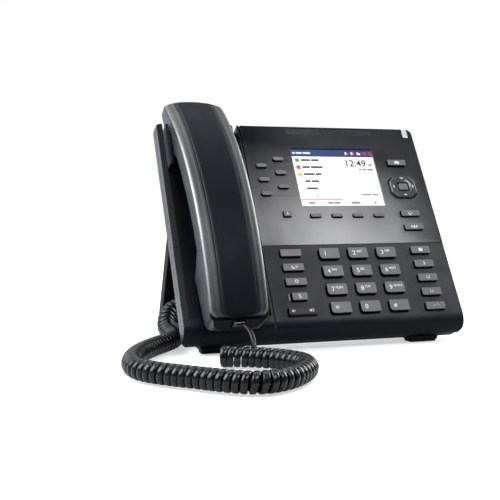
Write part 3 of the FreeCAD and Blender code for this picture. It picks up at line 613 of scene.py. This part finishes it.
# ---------------------------------------------------------------- display picture
def display_picture():
    """A generic idle screen: status bar, six list rows, a clock, and a bar of soft key labels."""
    window_top = face_box("display_window")[1][2]
    points = (node_points("display_window") - CENTRE) / MM
    pane = points[points[:, 2] > window_top - 0.01]
    (u0, v0), (u1, v1) = pane.min(0)[:2], pane.max(0)[:2]
    width, height = u1 - u0, v1 - v0
    inks = {"white": (1, 1, 1), "navy": (0.010, 0.045, 0.16), "green": (0.02, 0.36, 0.09),
            "red": (0.75, 0.01, 0.01), "yellow": (0.85, 0.52, 0.02), "pale": (0.78, 0.79, 0.8),
            "ink": (0.035, 0.04, 0.06), "grey": (0.26, 0.27, 0.3), "pink": (0.62, 0.2, 0.24)}
    looks = [emitting("screen_" + name, rgb(*colour)) for name, colour in inks.items()]
    white, navy, green, red, yellow, pale, ink, soft, pink = range(len(inks))
    decal = Decal(window_top)

    def patch(x0, x1, y0, y1, look, lift):
        decal.bar(u0 + x0 * width, u0 + x1 * width, v1 - y1 * height, v1 - y0 * height, look, lift)

    def words(x, y, lengths, look, size=0.034, lift=0.1):
        for length in lengths:
            patch(x, x + length, y - size / 2, y + size / 2, look, lift)
            x += length + 0.012

    patch(0, 1, 0, 1, white, 0.0)
    patch(0, 1, 0, 0.13, navy, 0.05)
    words(0.02, 0.068, (0.03, 0.07, 0.09), pale, 0.03)
    for index, look in enumerate((pale, pale, pale, red, red)):
        x = 0.66 + 0.075 * index
        patch(x, x + 0.022, 0.045, 0.09, look, 0.1)
        patch(x + 0.022, x + 0.045, 0.06 - 0.02 * (index % 2), 0.09, red if index < 2 else look, 0.1)
    rows = ((green, (0.11, 0.09)), (red, (0.09, 0.14)), (yellow, (0.13, 0.07)), (soft, (0.06, 0.09)),
            (soft, (0.13,)), (pale, (0.02,)))
    for index, (look, lengths) in enumerate(rows):
        y = 0.195 + 0.124 * index
        if index < 3:
            patch(0.035, 0.082, y - 0.03, y + 0.035, look, 0.1)
        else:
            decal.arc(u0 + 0.058 * width, v1 - y * height, 1.35, 1.65, 0, 360, soft, 16, 0.1)
        words(0.105 + (0.1 if index == 5 else 0), y, lengths, ink if index < 5 else soft)
    decal.text("12:49", u0 + 0.625 * width, v1 - 0.30 * height, 6.0, ink, 0.15, 0.1)
    words(0.92, 0.275, (0.045,), soft)
    words(0.79, 0.355, (0.03, 0.05, 0.07), soft)
    words(0.73, 0.80, (0.01, 0.11, 0.08), soft, 0.03)
    patch(0, 1, 0.885, 1, pale, 0.05)
    patch(0, 0.5, 0.875, 0.892, pink, 0.1)
    for x, lengths in ((0.09, (0.075,)), (0.32, (0.06, 0.07)), (0.60, (0.1,)), (0.88, (0.02,))):
        words(x, 0.94, lengths, soft)
    decal.build("display_picture", looks, "root", "display")


# ---------------------------------------------------------------- handset
def fit_circle(v, n):
    """Centre (v, n) and radius of the circle through samples, by least squares."""
    rows = np.column_stack([2 * v, 2 * n, np.ones(len(v))])
    centre_v, centre_n, rest = np.linalg.lstsq(rows, v * v + n * n, rcond=None)[0]
    return centre_v, centre_n, math.sqrt(rest + centre_v ** 2 + centre_n ** 2)


class HandsetBack:
    """The handset's long arched back: the CAD outline with a grooved, crowned section."""

    DEPTH = 4.55
    # (end's bulge, corner radius, rounding of the end's edge, lean of the end face) for each end
    EAR = (5.5, 4.2, 2.6, 0.0)
    MOUTH = (1.5, 6.0, 1.3, 0.157)
    # (share of the half width, drop below the crown) from the side's lower edge to the centre line
    SECTION = [(0.985, 4.55), (0.998, 4.45), (1.0, 4.1), (1.0, 3.7), (0.992, 3.15), (0.972, 2.55),
               (0.935, 1.95), (0.885, 1.5), (0.82, 1.15), (0.757, 0.92), (0.745, 0.78), (0.70, 0.6),
               (0.655, 0.44), (0.631, 0.42), (0.624, 1.0), (0.609, 1.0), (0.602, 0.26), (0.58, 0.2),
               (0.45, 0.1), (0.25, 0.03)]
    BOW_REACH = 45.0             # how far from an end its bulge fades out
    LEAN_REACH = 12.0            # and its lean
    CREASE_ANGLE = 24.0          # edges that turn more than this are sharp
    END_GAPS = [0.0, 0.15, 0.4, 0.8, 1.3, 2.0, 3.0, 4.2, 6.0, 9.0, 13.0]
    PLAIN = 18.0                 # the evenly spaced rings start this far from each end
    PLAIN_RINGS = 36

    def __init__(self):
        low, high = face_box("handset_outer_shell")
        points = (node_points("handset_outer_shell") - CENTRE) / MM
        self.u = (low[0] + high[0]) / 2
        self.v0, self.v1 = low[1], high[1]
        self.wide = (high[0] - low[0]) / 2
        low_end = points[points[:, 1] < self.v0 + 12]
        self.narrow = (low_end[:, 0].max() - low_end[:, 0].min()) / 2
        body = points[(points[:, 1] > self.v0 + 8) & (points[:, 1] < self.v1 - 8)]
        for _ in range(4):
            self.centre_v, self.centre_n, self.reach = fit_circle(body[:, 1], body[:, 2])
            away = np.hypot(body[:, 1] - self.centre_v, body[:, 2] - self.centre_n) - self.reach
            body = body[away > min(0.0, away.max() - 0.2)]

    def back(self, v):
        return self.centre_n + math.sqrt(self.reach ** 2 - (v - self.centre_v) ** 2)

    def ring(self, v, gap, end):
        """One cross-section at v; gap is the distance to the nearer end, and end is that end's shape."""
        bow, corner, edge, lean = end
        half = self.narrow + (self.wide - self.narrow) * (v - self.v0) / (self.v1 - self.v0)
        if gap < corner:
            half += math.sqrt(corner ** 2 - (corner - gap) ** 2) - corner
        sunk = 0.0
        if gap < edge:
            sunk = edge - math.sqrt(edge ** 2 - (edge - gap) ** 2)
        bow *= max(0.0, 1 - gap / self.BOW_REACH)
        lean *= max(0.0, 1 - gap / self.LEAN_REACH)
        inward = 1 if end is self.MOUTH else -1
        right = []
        for share, drop in self.SECTION:
            depth = self.DEPTH - (self.DEPTH - drop) * (1 - sunk / self.DEPTH)
            right.append((share * half, depth, bow * share ** 2))
        left = [(-w, depth, pull) for w, depth, pull in reversed(right)]
        points = []
        for w, depth, pull in right + [(0.0, sunk, 0.0)] + left:
            place = v + inward * (pull + lean * (self.DEPTH - depth))
            points.append(face(self.u + w, place, self.back(place) - depth))
        return points

    def build(self):
        middle = np.linspace(self.v0 + self.PLAIN, self.v1 - self.PLAIN, self.PLAIN_RINGS)
        stations = [(self.v0 + gap, gap, self.MOUTH) for gap in self.END_GAPS]
        stations += [(v, min(v - self.v0, self.v1 - v), self.MOUTH if v < 0 else self.EAR) for v in middle]
        stations += [(self.v1 - gap, gap, self.EAR) for gap in reversed(self.END_GAPS)]
        points, faces = tube([self.ring(*station) for station in stations])
        made = make_piece("handset_back", points, faces, HANDSET, "handset", "handset")
        sharpen(made, self.CREASE_ANGLE)
        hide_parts("handset_outer_shell")


def sharpen(piece, degrees):
    """Mark edges that turn more than this as sharp."""
    solid = bmesh.new()
    solid.from_mesh(piece.data)
    for edge in solid.edges:
        edge.smooth = len(edge.link_faces) == 2 and edge.calc_face_angle(0.0) < math.radians(degrees)
    solid.to_mesh(piece.data)
    solid.free()


# ---------------------------------------------------------------- coiled cord
# The cord's centre line in millimetres, as the CAD cord runs: along the desk and back to its jack.
COIL_PATH = [(-88.6, -103.2, 6.8), (-62.1, -119.5, 6.8), (-48.5, -140.0, 6.8), (-59.9, -167.9, 6.8),
             (-89.0, -184.6, 6.8), (-123.1, -160.0, 6.8), (-149.2, -126.3, 6.8), (-146.5, -94.8, 6.8),
             (-120.3, -49.4, 6.8), (-102.4, -20.0, 6.8), (-103.2, 5.0, 10.4), (-93.5, 23.0, 21.6),
             (-72.0, 29.0, 22.5)]
LOOP_FOOT = 4                    # the point that stays on the desk when the handset lifts
FRONT_LEAD = [(-71.9, -80.4, 22.8), (-69.7, -84.6, 23.6), (-67.8, -88.4, 21.4), (-66.4, -93.0, 17.2),
              (-66.8, -97.2, 13.3), (-69.5, -106.0, 9.0)]
REAR_LEAD = [(-75.0, 28.8, 22.3), (-56.0, 26.0, 26.0), (-44.0, 10.0, 34.0), (-40.0, -0.5, 37.2)]
CAP_ANGLE = 80.0                 # the flat ends of a strand are sharp
COIL_RADIUS = 6.75
MOUTH_FLARE = 0.6                # the first windings are this much wider
FLARE_LENGTH = 7.0               # and the rest narrow over about this length
SWAY = 0.05                      # unevenness of the windings
SWAY_LENGTH = 31.0
SWAY_WAVES = 12
SEED = 3
TURN_STEPS = 22                  # rings in one winding
STRAND_SIDES = 12
LEAD_RADIUS = 1.6
LEAD_SIDES = 16
STRAND = (2.25, 1.35)            # half width and half height of the strand
PITCH = 4.8
SPLINE_SAMPLES = 4000


def spline(points, step):
    """Evenly spaced points on a natural cubic through the given ones, their lengths, and the given ones'."""
    points = np.array(points, float)
    knots = np.concatenate([[0], np.cumsum(np.linalg.norm(np.diff(points, axis=0), axis=1))])
    count = len(points)
    matrix = np.eye(count)
    right = np.zeros_like(points)
    for i in range(1, count - 1):
        before, after = knots[i] - knots[i - 1], knots[i + 1] - knots[i]
        matrix[i, i - 1], matrix[i, i], matrix[i, i + 1] = before, 2 * (before + after), after
        right[i] = 6 * ((points[i + 1] - points[i]) / after - (points[i] - points[i - 1]) / before)
    bend = np.linalg.solve(matrix, right)
    fine = np.linspace(0, knots[-1], SPLINE_SAMPLES)
    cell = np.clip(np.searchsorted(knots, fine, side="right") - 1, 0, count - 2)
    width = (knots[cell + 1] - knots[cell])[:, None]
    a = (knots[cell + 1] - fine)[:, None] / width
    b = 1 - a
    curve = a * points[cell] + b * points[cell + 1]
    curve += ((a ** 3 - a) * bend[cell] + (b ** 3 - b) * bend[cell + 1]) * width ** 2 / 6
    length = np.concatenate([[0], np.cumsum(np.linalg.norm(np.diff(curve, axis=0), axis=1))])
    even = np.linspace(0, length[-1], max(8, int(length[-1] / step)))
    out = np.column_stack([np.interp(even, length, curve[:, axis]) for axis in range(3)])
    return out, even, np.interp(knots, fine, length)


def frames(line):
    """Tangent, side and lift at each point, with the lift kept as upright as it can be."""
    tangent = np.gradient(line, axis=0)
    tangent /= np.linalg.norm(tangent, axis=1)[:, None]
    side = np.cross(tangent, [0, 0, 1.0])
    side /= np.linalg.norm(side, axis=1)[:, None]
    return tangent, side, np.cross(side, tangent)


def at_length(curve, lengths, place):
    """The vector at one length along a curve whose samples lie at lengths."""
    return np.array([np.interp(place, lengths, curve[:, axis]) for axis in range(3)])


def coil_rings(line, lengths, first, last):
    """Rings of the wound strand between two lengths along the cord's centre line."""
    axes = frames(line)
    wobble = np.random.default_rng(SEED).normal(0, 1, SWAY_WAVES)
    rings = []
    steps = int((last - first) / PITCH * TURN_STEPS)
    lead_in = PITCH if first == 0.0 else 0.0
    for wound in np.linspace(first - lead_in, last, steps):
        turn = 2 * math.pi * wound / PITCH
        reached = max(wound, first)
        waves = [draw * math.sin(reached / SWAY_LENGTH * count + draw)
                 for count, draw in enumerate(wobble, 1)]
        place = reached + sum(waves) * SWAY
        centre, along, aside, above = [at_length(curve, lengths, place) for curve in (line, *axes)]
        out = aside * math.cos(turn) + above * math.sin(turn)
        middle = centre + out * (COIL_RADIUS + MOUTH_FLARE * math.exp(-reached / FLARE_LENGTH) - STRAND[1])
        ring = []
        for corner in range(STRAND_SIDES):
            angle = 2 * math.pi * corner / STRAND_SIDES
            cosine, sine = math.cos(angle), math.sin(angle)
            wide = math.copysign(abs(cosine) ** 0.6, cosine) * STRAND[0]
            tall = math.copysign(abs(sine) ** 0.8, sine) * STRAND[1]
            ring.append(Vector((middle + along * wide + out * tall) * MM))
        rings.append(ring)
    return rings


def lead_rings(points):
    """Rings of the flat straight lead, with the shallow valley between its two ridges."""
    line, _, _ = spline(points, 1.0)
    _, side, lift = frames(line)
    rings = []
    for centre, across, up in zip(line, side, lift):
        ring = []
        for corner in range(LEAD_SIDES):
            angle = 2 * math.pi * corner / LEAD_SIDES
            ridge = 0.24 * abs(math.cos(angle))
            reach = LEAD_RADIUS * (0.86 + ridge - 0.14 * abs(math.sin(angle)) ** 6)
            ring.append(Vector((centre + (across * math.cos(angle) + up * math.sin(angle)) * reach) * MM))
        rings.append(ring)
    return rings


def cord_pieces():
    line, lengths, knots = spline(COIL_PATH, 1.0)
    foot = knots[LOOP_FOOT]
    front = make_piece("cord_front", *join([tube(coil_rings(line, lengths, 0.0, foot)),
                                            tube(lead_rings(FRONT_LEAD))]), CORD, None, "cord")
    sharpen(front, CAP_ANGLE)
    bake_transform(front)
    rear = make_piece("cord_rear", *join([tube(coil_rings(line, lengths, foot, knots[-1])),
                                          tube(lead_rings(REAR_LEAD))]), CORD, "root", "cord")
    sharpen(rear, CAP_ANGLE)
    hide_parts("coiled_cord")


def join(parts):
    """Several (points, faces) as one."""
    points, faces = [], []
    for some, their in parts:
        faces += [tuple(index + len(points) for index in face_) for face_ in their]
        points += some
    return points, faces


# ---------------------------------------------------------------- build
key_legends()
rocker_legend()
nav_marks()
leader_lines()
display_picture()
HandsetBack().build()
cord_pieces()


# ---------------------------------------------------------------- stage, light and camera
def world_light():
    """White to the camera; to the object, a pale sweep behind it and dimmer surroundings in front."""
    world = bpy.data.worlds.new("studio")
    bpy.context.scene.world = world
    world.use_nodes = True
    tree = world.node_tree
    tree.nodes.clear()

    def add(kind, links=(), **settings):
        made = tree.nodes.new(kind)
        for key, value in settings.items():
            setattr(made, key, value)
        for socket, source in links:
            if isinstance(source, bpy.types.NodeSocket):
                tree.links.new(source, made.inputs[socket])
            else:
                made.inputs[socket].default_value = source
        return made

    way = add("ShaderNodeTexCoord").outputs["Generated"]
    back = add("ShaderNodeSeparateXYZ", [("Vector", way)]).outputs["Y"]
    glow = add("ShaderNodeMapRange", [("Value", back), ("From Min", 0.2), ("From Max", 0.75), ("To Min", 0.1),
                                      ("To Max", 0.8)], interpolation_type="SMOOTHSTEP").outputs["Result"]
    fill = add("ShaderNodeBackground", [("Color", rgb(0.94, 0.97, 1.0)), ("Strength", glow)]).outputs[0]
    seen = add("ShaderNodeBackground", [("Color", rgb(1, 1, 1)), ("Strength", 1.0)]).outputs[0]
    camera_ray = add("ShaderNodeLightPath").outputs["Is Camera Ray"]
    mixed = add("ShaderNodeMixShader", [("Fac", camera_ray), (1, fill), (2, seen)]).outputs[0]
    add("ShaderNodeOutputWorld", [("Surface", mixed)])


FLOOR_HALF = 40.0                # metres
FLOOR_GAP = 0.0002


def floor(height):
    """Pale paper under the object, fading to white with distance; it lights the object only faintly."""
    mesh = bpy.data.meshes.new("floor")
    corners = [(-FLOOR_HALF, -FLOOR_HALF, 0), (FLOOR_HALF, -FLOOR_HALF, 0), (FLOOR_HALF, FLOOR_HALF, 0),
               (-FLOOR_HALF, FLOOR_HALF, 0)]
    mesh.from_pydata(corners, [], [(0, 1, 2, 3)])
    made = bpy.data.objects.new("floor", mesh)
    bpy.context.scene.collection.objects.link(made)
    made.location.z = height - FLOOR_GAP
    graph = Graph("floor_paper")
    graph.put(graph.shader.inputs["Base Color"], rgb(0.48, 0.49, 0.5))
    graph.put(graph.shader.inputs["Roughness"], 0.8)
    graph.put(graph.shader.inputs["Emission Color"], rgb(0.97, 0.985, 1.0))
    away = graph.node("VectorMath", {0: graph.node("TexCoord").outputs["Object"]}, operation="LENGTH")
    seen = graph.node("LightPath").outputs["Is Camera Ray"]
    glow = graph.ramp(away.outputs["Value"], 0.25, 1.6, 0.55, 1.0)
    glow = graph.math("MULTIPLY", glow, graph.ramp(seen, 0.0, 1.0, 0.2, 1.0))
    graph.put(graph.shader.inputs["Emission Strength"], glow)
    graph.put(graph.shader.inputs["Normal"], graph.bump(graph.noise(3.0, 3.0), 0.02, 0.2))
    mesh.materials.append(graph.material)


# name, direction from the object, distance and (width, height) in metres, watts, colour
SOFTBOXES = [("softbox_top", (0.1, 0.3, 1.0), 1.3, (1.3, 1.0), 9.0, (1, 1, 1)),
             ("softbox_front", (0.1, -0.62, 0.78), 1.3, (0.8, 0.4), 14.0, (1, 1, 1)),
             ("softbox_left", (-1.0, 0.1, 0.75), 1.2, (0.9, 0.9), 32.0, (0.9, 0.95, 1.0)),
             ("softbox_right", (1.0, 0.3, 0.5), 1.2, (0.7, 0.6), 16.0, (0.92, 0.96, 1.0))]


def softboxes(middle):
    for name, direction, distance, size, power, colour in SOFTBOXES:
        data = bpy.data.lights.new(name, "AREA")
        data.shape = "RECTANGLE"
        data.size, data.size_y = size
        data.energy = power
        data.color = colour
        lamp = bpy.data.objects.new(name, data)
        bpy.context.scene.collection.objects.link(lamp)
        heading = Vector(direction).normalized()
        lamp.location = middle + heading * distance
        lamp.rotation_euler = heading.to_track_quat("Z", "Y").to_euler()


CAMERA_PLACE = (-0.2442, -0.6423, 0.1131)
CAMERA_TURN = (86.17, 0.0, -17.79)


def camera():
    data = bpy.data.cameras.new("camera")
    data.lens = 63.1
    data.sensor_width = 36.0
    made = bpy.data.objects.new("camera", data)
    made.location = CAMERA_PLACE
    made.rotation_euler = [math.radians(angle) for angle in CAMERA_TURN]
    bpy.context.scene.collection.objects.link(made)
    bpy.context.scene.camera = made
    bpy.context.scene.view_settings.view_transform = "Standard"


BOX_LOW, BOX_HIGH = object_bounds()
floor(BOX_LOW.z)
world_light()
softboxes((BOX_LOW + BOX_HIGH) / 2)
camera()
